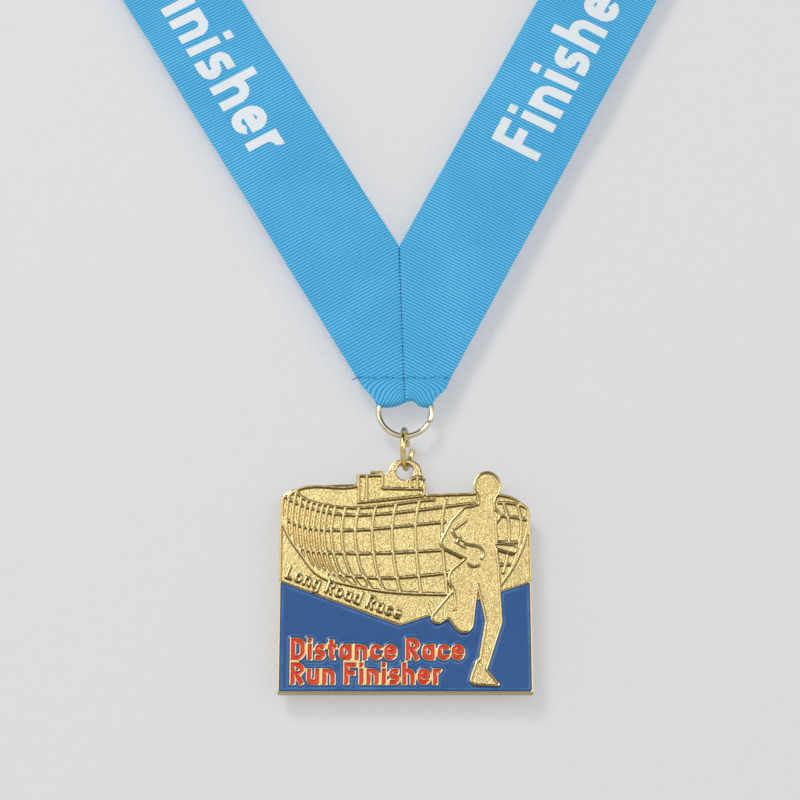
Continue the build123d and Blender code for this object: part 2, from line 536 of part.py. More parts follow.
def main():
    os.makedirs("parts", exist_ok=True)
    figure = runner()
    red = enamel_words()
    blue = lower_zone(FRAME_WIDTH) - figure - enamel_words(TEXT_OUTLINE)
    nodes = {
        "neck_ribbon": neck_ribbon(),
        "ribbon_tip": ribbon_tip(),
        "ribbon_print": ribbon_print(),
        "cross_stitching": cross_stitching(),
        "mitre_stitching": mitre_stitching(),
        "ribbon_ring": ribbon_ring(),
        "link_ring": link_ring(),
        "medal_plate": medal(figure, blue, red),
        "blue_enamel": slab(blue, FLOOR + 0.01, ENAMEL_TOP),
        "red_enamel": slab(red, FLOOR + 0.01, ENAMEL_TOP),
    }
    for name, shape in nodes.items():
        export_step(shape, f"parts/{name}.step")


main()
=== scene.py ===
import json
import math

import bpy
import numpy as np
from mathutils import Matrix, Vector
from mathutils.bvhtree import BVHTree

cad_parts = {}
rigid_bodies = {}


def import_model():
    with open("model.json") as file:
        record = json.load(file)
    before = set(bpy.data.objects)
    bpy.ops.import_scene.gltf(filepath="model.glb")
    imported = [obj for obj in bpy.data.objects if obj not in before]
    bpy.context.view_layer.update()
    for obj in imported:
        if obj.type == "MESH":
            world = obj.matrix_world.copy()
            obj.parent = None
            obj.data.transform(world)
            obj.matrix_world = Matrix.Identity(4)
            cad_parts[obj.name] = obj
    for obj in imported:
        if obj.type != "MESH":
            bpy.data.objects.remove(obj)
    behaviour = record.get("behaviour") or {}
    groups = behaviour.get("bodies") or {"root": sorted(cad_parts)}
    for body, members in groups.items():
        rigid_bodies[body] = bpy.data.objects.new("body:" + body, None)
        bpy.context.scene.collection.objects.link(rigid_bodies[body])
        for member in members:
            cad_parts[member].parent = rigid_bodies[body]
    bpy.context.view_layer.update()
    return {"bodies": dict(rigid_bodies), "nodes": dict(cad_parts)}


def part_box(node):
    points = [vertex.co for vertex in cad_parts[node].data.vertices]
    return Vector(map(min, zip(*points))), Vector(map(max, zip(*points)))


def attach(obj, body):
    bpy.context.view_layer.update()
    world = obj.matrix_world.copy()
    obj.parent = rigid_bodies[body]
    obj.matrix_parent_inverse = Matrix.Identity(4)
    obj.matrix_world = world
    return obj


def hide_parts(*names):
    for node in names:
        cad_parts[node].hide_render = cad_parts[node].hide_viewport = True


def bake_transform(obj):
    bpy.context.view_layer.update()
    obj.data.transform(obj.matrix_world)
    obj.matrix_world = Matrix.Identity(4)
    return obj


# The finisher medal, hanging upright: the front faces -Y, +Z is up. Lengths are in millimetres
# unless a name ends in _M, and MM turns them into Blender's metres.
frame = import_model()
MM = 0.001
rng = np.random.default_rng(7)


# ---- mesh helpers ---------------------------------------------------------------------------
IN_FRONT_Y = -20.0                # a place in front of every piece
ACROSS_A_WIRE = (0.3, 1.0, 0.2)   # a way in which no wire starts


def linked(name, data):
    """A new object of this data, in the scene."""
    obj = bpy.data.objects.new(name, data)
    bpy.context.scene.collection.objects.link(obj)
    return obj


def make_object(name, points, faces, smooth=True):
    """A mesh object from points in millimetres and a list or array of faces."""
    mesh = bpy.data.meshes.new(name)
    points = np.asarray(points, float) * MM
    mesh.from_pydata(points.tolist(), [], [list(map(int, f)) for f in faces])
    mesh.update()
    if smooth:
        mesh.shade_smooth()
    return linked(name, mesh)


def make_quads(name, points, quads):
    """A smooth mesh object from many points in millimetres and an (n, 4) array of quads."""
    mesh = bpy.data.meshes.new(name)
    quads = np.asarray(quads, np.int32)
    mesh.vertices.add(len(points))
    mesh.vertices.foreach_set("co", (np.asarray(points) * MM).astype(np.float32).ravel())
    mesh.loops.add(quads.size)
    mesh.loops.foreach_set("vertex_index", quads.ravel())
    mesh.polygons.add(len(quads))
    mesh.polygons.foreach_set("loop_start", np.arange(0, quads.size, 4, dtype=np.int32))
    mesh.update(calc_edges=True)
    mesh.validate()
    mesh.shade_smooth()
    return linked(name, mesh)


def add_values(mesh, name, values):
    """Keeps one number for each corner of a mesh, for its material to read."""
    layer = mesh.attributes.new(name, "FLOAT", "POINT")
    layer.data.foreach_set("value", values.astype(np.float32))


def read_all(items, name, width, kind=np.float32):
    """One property of every item, as rows of this width."""
    out = np.empty(len(items) * width, kind)
    items.foreach_get(name, out)
    return out.reshape(-1, width)


def node_mesh(node):
    """A CAD node's corners in millimetres and its faces."""
    mesh = frame["nodes"][node].data
    return read_all(mesh.vertices, "co", 3) / MM, [tuple(p.vertices) for p in mesh.polygons]


def node_tree(node):
    """A CAD node's faces, ready to be searched."""
    points, faces = node_mesh(node)
    return BVHTree.FromPolygons([Vector(p) for p in points], faces)


def front_hit(tree, x, z):
    """The first point of a tree's faces that is met from in front at (x, z), or None."""
    return tree.ray_cast(Vector((x, IN_FRONT_Y, z)), Vector((0, 1, 0)))[0]


def box_mm(node):
    """A CAD node's lowest and highest corners in millimetres."""
    low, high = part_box(node)
    return np.array(low) / MM, np.array(high) / MM


def front_heights(node, xs, zs):
    """How far a node reaches in front of the back plane at every (z, x), nan where it isn't."""
    tree = node_tree(node)
    out = np.full((len(zs), len(xs)), np.nan)
    for i, z in enumerate(zs):
        for j, x in enumerate(xs):
            hit = front_hit(tree, x, z)
            if hit is not None:
                out[i, j] = -hit.y
    return out


def blur(grid, reach):
    """A box blur of a grid, this many cells each way."""
    out = grid
    for axis in (0, 1):
        padded = np.concatenate([np.repeat(np.take(out, [0], axis), reach, axis), out,
                                 np.repeat(np.take(out, [-1], axis), reach, axis)], axis)
        total = np.cumsum(padded, axis)
        total = np.concatenate([np.zeros_like(np.take(total, [0], axis)), total], axis)
        size = grid.shape[axis]
        ends = np.take(total, np.arange(2 * reach + 1, 2 * reach + 1 + size), axis)
        starts = np.take(total, np.arange(size), axis)
        out = (ends - starts) / (2 * reach + 1)
    return out


def smooth_values(values, edges, rounds, share=0.5):
    """Averages values over a mesh's edges, a few rounds."""
    count = len(values)
    a, b = edges[:, 0], edges[:, 1]
    degree = np.maximum(np.bincount(a, minlength=count) + np.bincount(b, minlength=count), 1)
    flat = values.reshape(count, -1)
    for _ in range(rounds):
        mean = np.stack([(np.bincount(a, flat[b, k], count) + np.bincount(b, flat[a, k], count)) / degree
                         for k in range(flat.shape[1])], 1)
        flat = flat + share * (mean - flat)
    return flat.reshape(values.shape)


def tube(centres, radius, sides, taper):
    """Points and faces of a round wire along a curve. The ends are closed, and narrower by the taper."""
    centres = np.asarray(centres, float)
    along = np.gradient(centres, axis=0)
    along /= np.linalg.norm(along, axis=1)[:, None]
    side = np.cross(along[0], ACROSS_A_WIRE)
    side /= np.linalg.norm(side)
    turn = np.linspace(0, 2 * math.pi, sides, endpoint=False)[:, None]
    count = len(centres)
    rings = []
    for i, (c, t) in enumerate(zip(centres, along)):
        side = side - t * (side @ t)
        side /= np.linalg.norm(side)
        up = np.cross(t, side)
        size = radius * (1.0 - taper * (i in (0, count - 1)))
        rings.append(c + size * (np.cos(turn) * side + np.sin(turn) * up))
    points = np.concatenate(rings + [centres[:1], centres[-1:]])
    faces = []
    for i in range(count - 1):
        for j in range(sides):
            k = (j + 1) % sides
            faces.append((i * sides + j, i * sides + k, (i + 1) * sides + k, (i + 1) * sides + j))
    first, last = count * sides, count * sides + 1
    for j in range(sides):
        k = (j + 1) % sides
        faces.append((first, k, j))
        faces.append((last, (count - 1) * sides + j, (count - 1) * sides + k))
    return points, faces


def join_parts(parts):
    """Several (points, faces) as one."""
    points, faces, base = [], [], 0
    for p, f in parts:
        points.append(p)
        faces += [tuple(int(v) + base for v in face) for face in f]
        base += len(p)
    return np.concatenate(points), faces


def cell_quads(cells):
    """A grid's marked cells as quads of corner numbers, and each corner's row and column."""
    rows, columns = np.nonzero(cells)
    span = cells.shape[1] + 1
    first = rows * span + columns
    used, inverse = np.unique(np.stack([first, first + 1, first + span + 1, first + span], 1),
                              return_inverse=True)
    return inverse.reshape(-1, 4), used // span, used % span


def slab_quads(quads, count):
    """A closed slab from a sheet of quads with this many corners: the sheet, the same sheet on
    the corners that follow them, and walls round the rim."""
    pairs = np.stack([quads.ravel(), np.roll(quads, -1, 1).ravel()], 1)
    key = np.sort(pairs, 1)
    code = key[:, 0].astype(np.int64) * count + key[:, 1]
    _, first, times = np.unique(code, return_index=True, return_counts=True)
    rim = pairs[first[times == 1]]
    walls = np.stack([rim[:, 1], rim[:, 0], rim[:, 0] + count, rim[:, 1] + count], 1)
    return np.concatenate([quads, quads[:, ::-1] + count, walls])


# ---- materials ------------------------------------------------------------------------------
def rgb(red, green, blue):
    return (red, green, blue, 1.0)


GOLD, GOLD_DEEP, GOLD_POLISHED = rgb(0.72, 0.57, 0.26), rgb(0.67, 0.53, 0.23), rgb(0.92, 0.74, 0.38)
# dark gold painted as shade below the ridges and on faces that turn down
PAINTED_SHADE_GOLD = rgb(0.13, 0.075, 0.018)
LARGE_WIRE = rgb(0.93, 0.86, 0.62), rgb(0.84, 0.75, 0.50)      # light and dull
LINK_WIRE = rgb(0.95, 0.78, 0.40), rgb(0.86, 0.67, 0.30)
# dark colour painted as shade on the wires' flanks
WIRE_FLANK_SHADE = rgb(0.16, 0.11, 0.04)
# the third colour of each enamel is a painted highlight along the border
BLUE_ENAMEL = rgb(0.016, 0.098, 0.320), rgb(0.013, 0.090, 0.295), rgb(0.13, 0.30, 0.62)
RED_ENAMEL = rgb(0.82, 0.034, 0.004), rgb(0.72, 0.024, 0.003), rgb(0.95, 0.16, 0.08)
# painted shade in the rib grooves and painted light on the rib crowns
RIB_GROOVE_SHADE, RIB_CROWN_LIT = rgb(0.025, 0.308, 0.625), rgb(0.056, 0.52, 0.905)
# painted highlight on the warp threads; painted shade of soft waves in random patches
WARP_HIGHLIGHT, RIBBON_WAVE_SHADE = rgb(0.36, 0.78, 1.0), rgb(0.018, 0.33, 0.70)
MITRE_THREAD = rgb(0.006, 0.075, 0.23)
INK, INK_THIN = rgb(0.90, 0.94, 0.97), rgb(0.45, 0.70, 0.88)
THREAD_DARK, THREAD_LIGHT = rgb(0.004, 0.24, 0.46), rgb(0.012, 0.44, 0.68)

RIB_PITCH, WARP_PITCH = 0.75, 0.48         # of the ribbon's weave
MITRE_LINE = 0.2                  # half the width of the dark stitches along the mitre
MITRE_STITCH_PITCH = 0.95


class Nodes:
    """The node tree of a new material or world, with short calls to add and join nodes."""

    def __init__(self, name, kind="Material"):
        owners = bpy.data.worlds if kind == "World" else bpy.data.materials
        self.owner = owners.new(name)
        self.owner.use_nodes = True
        self.tree = self.owner.node_tree
        self.tree.nodes.clear()
        self.output = self.tree.nodes.new("ShaderNodeOutput" + kind)
        coords = self.tree.nodes.new("ShaderNodeTexCoord").outputs
        self.position, self.direction = coords["Object"], coords["Generated"]

    def feed(self, socket, value):
        """Joins another node's output to a socket, or sets the socket's value."""
        if hasattr(value, "links"):
            self.tree.links.new(value, socket)
        else:
            socket.default_value = value

    def add(self, kind, inputs=None, **settings):
        node = self.tree.nodes.new(kind)
        for key, value in settings.items():
            setattr(node, key, value)
        for key, value in (inputs or {}).items():
            self.feed(node.inputs[key], value)
        return node

    def noise(self, scale, detail, roughness=0.5):
        return self.add("ShaderNodeTexNoise", {"Vector": self.position, "Scale": scale, "Detail": detail,
                                               "Roughness": roughness}).outputs["Fac"]

    def math(self, operation, a, b=0.0):
        return self.add("ShaderNodeMath", {0: a, 1: b}, operation=operation).outputs[0]

    def times(self, a, b):
        return self.math("MULTIPLY", a, b)

    def cycle(self, operation, value, period):
        """The sine or cosine of a length that comes round every period."""
        return self.math(operation, self.times(value, 2 * math.pi / period))

    def spread(self, value, low, high, to_low=0.0, to_high=1.0):
        """A value between low and high as the same share between the other two, and no further."""
        return self.add("ShaderNodeMapRange", {"Value": value, "From Min": low, "From Max": high,
                                               "To Min": to_low, "To Max": to_high}).outputs[0]

    def mix(self, share, a, b):
        """Colour a at share 0, colour b at share 1."""
        return self.add("ShaderNodeMix", {0: share, 6: a, 7: b}, data_type="RGBA").outputs[2]

    def attribute(self, name):
        return self.add("ShaderNodeAttribute", attribute_name=name).outputs["Fac"]

    def bump(self, height, distance, strength):
        return self.add("ShaderNodeBump", {"Height": height, "Distance": distance * MM,
                                           "Strength": strength}).outputs[0]

    def show(self, shader):
        """Joins a shader to the output and gives back the material or world."""
        self.feed(self.output.inputs["Surface"], shader.outputs[0])
        return self.owner

    def finish(self, **inputs):
        """Shows one Principled surface with these inputs."""
        named = {key.replace("_", " "): value for key, value in inputs.items()}
        return self.show(self.add("ShaderNodeBsdfPrincipled", named))


def gold_casting():
    """Gold plate on zinc: sand-blasted fields, polished ridges and edges, and dark gold painted as shade
    below the ridges and on faces that turn down.
    """
    m = Nodes("gold_casting")
    polish = m.attribute("polish")
    grain = m.noise(2500.0, 3.0, 0.65)
    patches = m.noise(120.0, 3.0)
    colour = m.mix(m.spread(patches, 0.35, 0.65), GOLD, GOLD_DEEP)
    colour = m.mix(m.times(polish, 0.5), colour, GOLD_POLISHED)
    # painted shade below the ridges and on faces that turn down
    colour = m.mix(m.times(m.attribute("shade_below"), 0.95), colour, PAINTED_SHADE_GOLD)
    rough = m.spread(polish, 0.0, 1.0, 0.27, 0.13)
    rough = m.math("ADD", rough, m.spread(grain, 0.3, 0.7, -0.04, 0.05))
    return m.finish(Base_Color=colour, Metallic=1.0, Roughness=rough,
                    Normal=m.bump(grain, 0.16, m.spread(polish, 0.0, 0.8, 1.0, 0.06)))


def ring_wire(name, light, dull):
    """Polished wire with fine drawing lines, a little dulling, and painted shade on the flanks, darker
    where the wire turns away from the camera.
    """
    m = Nodes(name)
    haze = m.noise(700.0, 4.0)
    colour = m.mix(m.spread(haze, 0.35, 0.7), light, dull)
    facing = m.add("ShaderNodeLayerWeight", {"Blend": 0.5}).outputs["Facing"]
    # painted shade: darker where the wire turns away from the camera
    colour = m.mix(m.spread(facing, 0.30, 0.85, 0.0, 0.85), colour, WIRE_FLANK_SHADE)
    return m.finish(Base_Color=colour, Metallic=1.0, Roughness=m.spread(haze, 0.3, 0.7, 0.06, 0.13),
                    Normal=m.bump(m.noise(3000.0, 3.0), 0.01, 0.4))


def enamel(name, light, dark, edge):
    """Gloss soft enamel with faint clouding, a slightly wavy surface and a painted highlight: a paler line
    by its border, standing for light on the meniscus.
    """
    m = Nodes(name)
    cloud = m.noise(260.0, 3.0)
    colour = m.mix(m.spread(cloud, 0.3, 0.7), light, dark)
    broken = m.spread(m.noise(180.0, 2.0), 0.35, 0.65, 0.25, 0.75)
    # painted highlight: a paler line near the border, broken up by noise
    colour = m.mix(m.times(m.attribute("border"), broken), colour, edge)
    return m.finish(Base_Color=colour, Roughness=0.22, Coat_Weight=0.4, Coat_Roughness=0.05,
                    Specular_IOR_Level=0.2, Normal=m.bump(m.noise(420.0, 1.0), 0.02, 0.25))


def ribbon_weave():
    """Sky-blue grosgrain over the modelled ribs: painted shade in the grooves, painted light on the
    crowns, painted highlights on the fine warp threads, random patches of painted shade for soft waves,
    soft sheen, stitches on the mitre.
    """
    m = Nodes("ribbon_weave")
    along = m.attribute("along_mm")
    warp = m.cycle("SINE", m.attribute("across_mm"), WARP_PITCH)
    rib = m.cycle("COSINE", along, RIB_PITCH)
    # painted shade in the grooves, painted light on the crowns
    colour = m.mix(m.spread(rib, -1.0, 0.2), RIB_GROOVE_SHADE, RIB_CROWN_LIT)
    # painted highlights on the warp threads where they cross the crowns
    warp_glint = m.times(m.spread(warp, -0.2, 0.8), m.spread(rib, -0.3, 0.7))
    colour = m.mix(m.times(warp_glint, 0.8), colour, WARP_HIGHLIGHT)
    seam = m.math("LESS_THAN", m.attribute("mitre_mm"), MITRE_LINE)
    dash = m.math("GREATER_THAN", m.cycle("SINE", along, MITRE_STITCH_PITCH), -0.4)
    colour = m.mix(m.times(m.times(seam, dash), 0.9), colour, MITRE_THREAD)
    # painted shade: random darker patches, standing for the shading of the ribbon's soft waves
    colour = m.mix(m.spread(m.noise(60.0, 2.0), 0.35, 0.65, 0.0, 0.30), colour, RIBBON_WAVE_SHADE)
    height = m.math("ADD", m.times(warp, 0.5), m.noise(2600.0, 3.0, 0.7))
    return m.finish(Base_Color=colour, Roughness=0.72, Sheen_Weight=0.12, Sheen_Roughness=0.4,
                    Sheen_Tint=rgb(0.6, 0.85, 1.0), Normal=m.bump(height, 0.05, 0.6))


def print_ink():
    """White screen-print ink, thin over the ribs so a little blue shows in the grooves."""
    m = Nodes("print_ink")
    rib = m.cycle("COSINE", m.attribute("along_mm"), RIB_PITCH)
    worn = m.math("ADD", m.spread(rib, -1.0, -0.2, 0.3, 0.0),
                  m.spread(m.noise(2400.0, 4.0), 0.62, 0.75, 0.0, 0.3))
    return m.finish(Base_Color=m.mix(worn, INK, INK_THIN), Roughness=0.6,
                    Normal=m.bump(m.noise(2600.0, 3.0), 0.03, 0.5))


def thread_material():
    """Turquoise sewing thread with a twisted ply."""
    m = Nodes("sewing_thread")
    twist = m.add("ShaderNodeTexWave", {"Vector": m.position, "Scale": 700.0, "Distortion": 1.5,
                                        "Detail": 2.0}, bands_direction="DIAGONAL").outputs["Fac"]
    return m.finish(Base_Color=m.mix(twist, THREAD_DARK, THREAD_LIGHT), Roughness=0.6, Sheen_Weight=0.3,
                    Normal=m.bump(twist, 0.05, 0.6))


def paint(obj, material):
    """Gives an object this one material."""
    obj.data.materials.clear()
    obj.data.materials.append(material)


def place(piece, material, body, node):
    """Paints a piece, hides the CAD node that it stands for and attaches it to the body that it rides on.
    """
    paint(piece, material)
    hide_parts(node)
    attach(piece, body)


# ---- the medal ------------------------------------------------------------------------------
PITCH = 0.12                      # grid step for the casting and the enamel
FLOOR = 2.2                       # the recesses' floor, counted from the back of the plate
ENAMEL_TOP = 2.65
RED_DROP = 0.05                   # the red lies this much lower than the blue
RIDGE_REACH, RIDGE_HEIGHT = 4, 0.12        # grid cells, and the height at which a ridge is polished
EDGE_POLISH, BACK_POLISH = 0.55, 0.1
# painted shade on faces that turn down, at most this much
UNDERSIDE_SHADE = 0.56
GRAIN_DEPTH = 0.020               # of the blasted surfaces
SHORE_CELLS = 12                  # how far in from its border the enamel's depth is counted
MENISCUS, MENISCUS_REACH = 0.14, 0.30
RIPPLE, RIPPLE_CELLS = 0.03, 5
HIGHLIGHT_DEPTH, HIGHLIGHT_WIDTH = 0.42, 0.16     # the painted highlight line inside the border: its depth and width
plate_low, plate_high = box_mm("medal_plate")
grid_x = np.arange(plate_low[0] - 2 * PITCH, plate_high[0] + 2 * PITCH, PITCH)
grid_z = np.arange(plate_low[2] - 2 * PITCH, plate_high[2] + 2 * PITCH, PITCH)


def sample(grid, points):
    """Values of a grid over (z, x) at points, nearest cell."""
    i = np.clip(np.rint((points[:, 2] - grid_z[0]) / PITCH).astype(int), 0, len(grid_z) - 1)
    j = np.clip(np.rint((points[:, 0] - grid_x[0]) / PITCH).astype(int), 0, len(grid_x) - 1)
    return grid[i, j]


def remeshed(node):
    """A CAD node's shape as a mesh of small, even quads, in millimetres."""
    points, faces = node_mesh(node)
    mesh = bpy.data.meshes.new("remesh")
    mesh.from_pydata([tuple(p) for p in points.tolist()], [], faces)
    obj = linked("remesh", mesh)
    remesh = obj.modifiers.new("remesh", "REMESH")
    remesh.mode = "VOXEL"
    remesh.voxel_size = PITCH
    remesh.adaptivity = 0.0
    done = bpy.data.meshes.new_from_object(obj.evaluated_get(bpy.context.evaluated_depsgraph_get()))
    bpy.data.objects.remove(obj)
    return done


def facing(share):
    """1 where a normal's share in one direction is large, 0 where it's small, soft between."""
    return np.clip((share - 0.3) / 0.4, 0, 1)


def medal_casting():
    """The casting with softened edges, blasted fields and polished ridges."""
    heights = np.nan_to_num(front_heights("medal_plate", grid_x, grid_z), nan=0.0)
    skin = remeshed("medal_plate")
    edges = read_all(skin.edges, "vertices", 2, np.int32)
    normals = read_all(skin.vertex_normals, "vector", 3)
    points = smooth_values(read_all(skin.vertices, "co", 3).astype(float), edges, 2, 0.45)
    front, back = facing(-normals[:, 1]), facing(normals[:, 1])
    raised = sample(heights - blur(heights, RIDGE_REACH), points)
    polish = (np.clip(raised / RIDGE_HEIGHT, 0, 1) * front + (1 - front - back) * EDGE_POLISH
              + back * BACK_POLISH)
    polish = smooth_values(polish, edges, 2)
    # painted shade: a mask that is high on the flanks that face down below each ridge and on faces of the
    # casting that turn down
    slope = np.gradient(blur(np.maximum(heights, ENAMEL_TOP), 1), PITCH, axis=0)
    shade_below = (np.clip(sample(slope, points), 0, 1) * front
             + UNDERSIDE_SHADE * np.clip(-normals[:, 2], 0, 1))
    shade_below = smooth_values(shade_below, edges, 1)
    grain = smooth_values(rng.normal(size=len(points)), edges, 3, 0.6)
    grain /= grain.std()
    on_field = (front + back) * np.clip(1 - polish * 1.6, 0, 1)
    points = points + normals * (grain * on_field * GRAIN_DEPTH)[:, None]
    skin.vertices.foreach_set("co", (points * MM).astype(np.float32).ravel())
    add_values(skin, "polish", polish)
    add_values(skin, "shade_below", shade_below)
    skin.shade_smooth()
    skin.name = "medal_casting"
    place(linked("medal_casting", skin), gold_casting(), "medal", "medal_plate")


def grown(mask):
    """A cell mask grown by one cell each way."""
    out = mask.copy()
    out[1:] |= mask[:-1]
    out[:-1] |= mask[1:]
    out[:, 1:] |= mask[:, :-1]
    out[:, :-1] |= mask[:, 1:]
    return out


def enamel_fill(node, top):
    """An enamel pool on the recesses' floor. Its top climbs a little where it meets the metal."""
    low, high = box_mm(node)
    zs = grid_z[(grid_z > low[2] - 3 * PITCH) & (grid_z < high[2] + 3 * PITCH)]
    pool = ~np.isnan(front_heights(node, grid_x, zs))
    depth = np.zeros(pool.shape)
    inner = pool
    for _ in range(SHORE_CELLS):
        inner = ~grown(~inner)
        depth += inner
    depth *= PITCH
    heights = (top + MENISCUS * np.exp(-depth / MENISCUS_REACH)
               + blur(rng.normal(size=pool.shape), RIPPLE_CELLS) * RIPPLE)
    # painted highlight line at this depth from the border
    border = np.exp(-((depth - HIGHLIGHT_DEPTH) / HIGHLIGHT_WIDTH) ** 2)
    quads, i, j = cell_quads(grown(pool))

    def at_corners(values):
        padded = np.pad(values, 1, mode="edge")
        return (padded[i, j] + padded[i + 1, j] + padded[i, j + 1] + padded[i + 1, j + 1]) / 4

    x = grid_x[0] + (j - 0.5) * PITCH
    z = zs[0] + (i - 0.5) * PITCH
    surface_points = np.stack([x, -at_corners(heights), z], 1)
    floor_points = np.stack([x, np.full(len(x), -(FLOOR + 0.02)), z], 1)
    fill = make_quads(node + "_fill", np.concatenate([surface_points, floor_points]),
                      slab_quads(quads, len(x)))
    add_values(fill.data, "border", np.tile(at_corners(border), 2))
    return fill


def medal_pieces():
    """The casting and the two enamels."""
    medal_casting()
    for node, top, colours in (("blue_enamel", ENAMEL_TOP, BLUE_ENAMEL),
                               ("red_enamel", ENAMEL_TOP - RED_DROP, RED_ENAMEL)):
        place(enamel_fill(node, top), enamel(node, *colours), "medal", node)


# ---- rings ----------------------------------------------------------------------------------
CHAIN_Y = -1.5                    # the rings' and the ribbon fold's middle plane
WIRE_SIDES, WIRE_TAPER = 20, 0.12
LARGE_GAP, LARGE_HALF_GAP = -26.0, 1.6     # degrees
LINK_GAP, LINK_HALF_GAP = 200.0, 4.6       # degrees
LINK_RADIUS = 0.65                # of the wire
LINK_YAW = math.radians(7.0)
LINK_STEP, LINK_STEP_FROM = 1.35, 0.75     # one end steps sideways, from this share of the way on


def rings():
    """The two open rings of polished wire."""
    low, high = box_mm("ribbon_ring")
    centre = (low + high) / 2
    wire = (high[1] - low[1]) / 2
    radius = (high[0] - low[0]) / 2 - wire
    half_gap = math.radians(LARGE_HALF_GAP)
    turn = np.linspace(math.radians(LARGE_GAP) + half_gap, math.radians(LARGE_GAP + 360) - half_gap, 161)
    path = np.stack([centre[0] + radius * np.cos(turn), np.full_like(turn, centre[1]),
                     centre[2] + radius * np.sin(turn)], 1)
    large = make_object("ribbon_ring_wire", *tube(path, wire, WIRE_SIDES, WIRE_TAPER))
    place(large, ring_wire("large_ring_wire", *LARGE_WIRE), "large_ring", "ribbon_ring")
    low, high = box_mm("link_ring")
    middle = (low + high) / 2
    radius = (high[2] - low[2]) / 2 - LINK_RADIUS
    turn = np.linspace(0, 1, 141)
    angle = math.radians(LINK_GAP + LINK_HALF_GAP) + turn * math.radians(360 - 2 * LINK_HALF_GAP)
    step = LINK_STEP * np.clip((turn - LINK_STEP_FROM) / (1 - LINK_STEP_FROM), 0, 1) ** 2
    reach = radius * np.cos(angle)
    path = np.stack([step * math.cos(LINK_YAW) - reach * math.sin(LINK_YAW),
                     CHAIN_Y - reach * math.cos(LINK_YAW) - step * math.sin(LINK_YAW),
                     middle[2] - radius * np.sin(angle)], 1)
    link = make_object("link_ring_wire", *tube(path, LINK_RADIUS, WIRE_SIDES, WIRE_TAPER))
    place(link, ring_wire("link_ring_wire", *LINK_WIRE), "link", "link_ring")


# ---- the ribbon -----------------------------------------------------------------------------
RIBBON_WIDTH = 25.0
HALF_THICKNESS = 0.21
RIB_HEIGHT = 0.05
SCALLOP = 0.13                    # how far the ribs stand out at the ribbon's edges
HEM_THIN, HEM_WIDTH = 0.45, 0.25  # the edges are thinner by this share
STRAP_LEAN = math.radians(29.0)
LEAN_X, LEAN_Z = math.sin(STRAP_LEAN), math.cos(STRAP_LEAN)
APEX_Z = 81.4                     # where the straps' inner edges meet
SEAM_Z = 48.5                     # the row of stitches
NECK_RADIUS = 52.0
STRAP_LENGTH = 180.0              # from the level of the seam
REACH = STRAP_LENGTH - (APEX_Z - SEAM_Z)   # from the apex to where a strap bends round the neck
COIL_ANGLE = (math.pi / 2 + STRAP_LEAN) / 2
WRAP_LENGTH = math.pi * NECK_RADIUS / math.sin(COIL_ANGLE)
LOOP_END = REACH + WRAP_LENGTH + 33.0      # where the two halves meet behind the neck
TIP_REACH = -RIBBON_WIDTH / math.tan(STRAP_LEAN)
TIP_INSET, MITRE_INSET = 0.25, 0.03        # the cut edges stay this far inside the pattern
NO_MITRE = 9.0                    # stands for the distance to the mitre above the apex, where it ends
ACROSS_COUNT, PER_RIB = 31, 4     # the weave mesh's steps
FOLD_CENTRE_Z = 43.1
FOLD_RADIUS = 0.9
LAYER_GAP = 0.25                  # from the middle plane to each layer above the seam
SLEEVE_TOP, SLEEVE_FULL = 0.6, -1.3        # the layers part for the ring, counted from the seam
FAN_START, FAN_LIFT, FAN_DROP, FAN_X = 0.3, 1.0, 0.42, 0.9     # the ribs fan out below the seam
GATHER, GATHER_Z, GATHER_PAST = 0.21, 47.6, 0.4                # the fold is gathered sideways
SWELL, SWELL_Z, SWELL_REACH = 0.05, 46.0, 1.3                  # a little less on the right
DENT, DENT_REACH = 0.32, 0.45     # along the mitre
NOTCH, NOTCH_X, NOTCH_LEFT, NOTCH_RIGHT = 1.6, 2.2, 3.8, 1.7
HANG_SLOPE, HANG_FOOT, HANG_HEAD = -0.034, 41, 160             # the hanging ribbon leans left
WAVE_START, WAVE_FULL, WAVE_FADE = -22.0, 30.0, 40.0
WAVES = ((0.30, 7.5, 9.0, 1.0), (0.22, 4.1, -6.0, 2.0))        # height, lengths along and across, phase


def ease(value, start, end):
    """0 at start, 1 at end, smooth between."""
    t = np.clip((value - start) / (end - start), 0, 1)
    return t * t * (3 - 2 * t)


def fold_rise(x):
    """The fold's lower edge rises to a notch beside the mitre."""
    return NOTCH * np.exp(-((x - NOTCH_X) / np.where(x < NOTCH_X, NOTCH_LEFT, NOTCH_RIGHT)) ** 2)


def flat_to_front(x, z):
    """Flat ribbon coordinates to space for the front straps, the fold and the flap behind."""
    fan = ease(z, SEAM_Z - FAN_START, FOLD_CENTRE_Z)
    z = z + fan * (FAN_LIFT - FAN_DROP * np.abs(x - FAN_X))
    fold_z = FOLD_CENTRE_Z + fold_rise(x)
    drop = np.maximum(fold_z - z, 0)
    turn = np.clip(drop / FOLD_RADIUS, 0, math.pi)
    behind = np.maximum(drop - math.pi * FOLD_RADIUS, 0)
    height = np.where(drop > 0, fold_z - FOLD_RADIUS * np.sin(turn) + behind, z)
    sleeve = ease(height, SEAM_Z + SLEEVE_TOP, SEAM_Z + SLEEVE_FULL)
    bulge = LAYER_GAP + (FOLD_RADIUS - LAYER_GAP) * sleeve
    y = CHAIN_Y - bulge * np.cos(turn) + DENT * np.exp(-np.abs(x) / DENT_REACH) * np.cos(turn)
    gather = 1 - GATHER * ease(height, GATHER_Z, FOLD_CENTRE_Z - GATHER_PAST)
    swell = np.exp(-((height - SWELL_Z) / SWELL_REACH) ** 2) * ease(x, 0.5, 4.0)
    gather = gather + np.where(x > 0, SWELL, 0.0) * swell
    return x * gather, y, height


